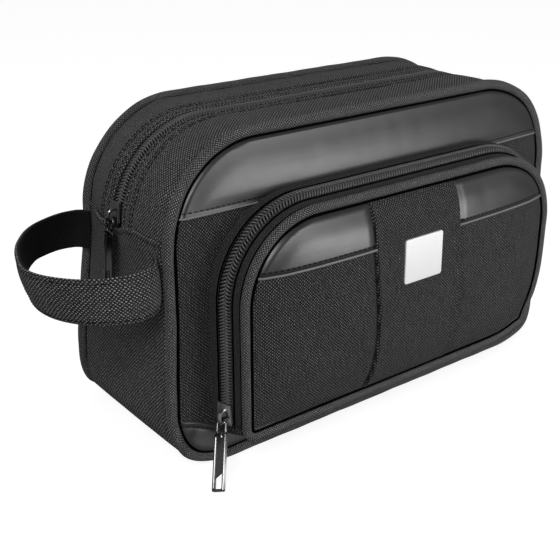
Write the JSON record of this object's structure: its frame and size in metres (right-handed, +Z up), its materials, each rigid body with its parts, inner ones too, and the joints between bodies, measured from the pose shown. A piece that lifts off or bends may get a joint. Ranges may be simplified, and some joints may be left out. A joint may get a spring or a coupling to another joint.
{
  "type": "toiletry bag",
  "caption": "Soft boxy toiletry bag with rounded ends, a zip over the top, a zipped front pocket with a bare metal plate, and a side carrying strap.",
  "frame": {"origin": "middle of the bag's flat underside, midway between the front and rear panels, on the surface it stands on", "axes": "+X to the bag's right seen from the front, away from the carrying strap; the front pocket faces -Y; +Z up"},
  "size_m": [0.3223, 0.1284, 0.17],
  "materials": {
    "canvas": "coarse woven polyester, matt, charcoal",
    "nylon": "finer woven nylon, matt, near black",
    "leather": "smooth coated synthetic leather, satin, black",
    "piping": "cloth over cord, matt, charcoal",
    "zip_tape": "woven zip tape, matt black",
    "zip_coil": "nylon coil teeth, slight sheen",
    "slider_metal": "polished plated die casting",
    "pull_metal": "dark plated die casting",
    "plate_metal": "satin silver plate",
    "lining": "thin coated lining cloth",
    "foam": "closed-cell foam sheet",
    "board": "stiff polyethylene board",
    "binding": "folded seam binding tape"
  },
  "bodies": {
    "bag": {"lower_gusset": "canvas", "zip_gusset_front": "canvas", "zip_gusset_rear": "canvas", "main_zip_tape_front": "zip_tape", "main_zip_tape_rear": "zip_tape", "main_zip_coil_front": "zip_coil", "main_zip_coil_rear": "zip_coil", "main_zip_end_stop": "slider_metal", "front_piping": "piping", "rear_piping": "piping", "front_panel_leather": "leather", "front_panel_fabric": "nylon", "front_panel_band": "leather", "back_panel": "canvas", "front_foam": "foam", "back_foam": "foam", "lining_front": "lining", "lining_back": "lining", "lining_gusset": "lining", "front_seam_binding": "binding", "rear_seam_binding": "binding", "base_board": "board", "side_handle": "canvas", "pocket_gusset": "nylon", "pocket_zip_tape_rear": "zip_tape", "pocket_zip_tape_front": "zip_tape", "pocket_zip_coil_rear": "zip_coil", "pocket_zip_coil_front": "zip_coil", "pocket_piping": "piping", "pocket_panel_left": "nylon", "pocket_panel_right": "nylon", "pocket_leather_left": "leather", "pocket_leather_right": "leather", "pocket_centre_strip": "nylon", "pocket_lining": "lining", "plain_plate": "plate_metal"},
    "main_slider_body": {"main_slider": "slider_metal"},
    "main_pull_body": {"main_puller": "pull_metal"},
    "pocket_slider_body": {"pocket_slider": "slider_metal"},
    "pocket_pull_body": {"pocket_puller": "pull_metal"}
  },
  "joints": [
    {"name": "main_slider_travel", "type": "hinge", "parent": "bag", "child": "main_slider_body", "pos_m": [-0.0794, 0.0015, 0.1154], "axis": [0, 1, 0], "range_deg": [0, 80], "deforming": ["main_zip_coil_front", "main_zip_coil_rear"]},
    {"name": "main_pull_swing", "type": "hinge", "parent": "main_slider_body", "child": "main_pull_body", "pos_m": [-0.13421, 0.0015, 0.12243], "axis": [0, 1, 0], "range_deg": [-3, 165]},
    {"name": "pocket_slider_travel", "type": "slide", "parent": "bag", "child": "pocket_slider_body", "axis": [0, 0, 1], "range_m": [0, 0.05], "deforming": ["pocket_zip_coil_rear", "pocket_zip_coil_front"]},
    {"name": "pocket_pull_swing", "type": "hinge", "parent": "pocket_slider_body", "child": "pocket_pull_body", "pos_m": [-0.11245, -0.05921, 0.0289], "axis": [-0.2498, 0.8712, -0.4226], "range_deg": [-22, 46]}
  ]
}
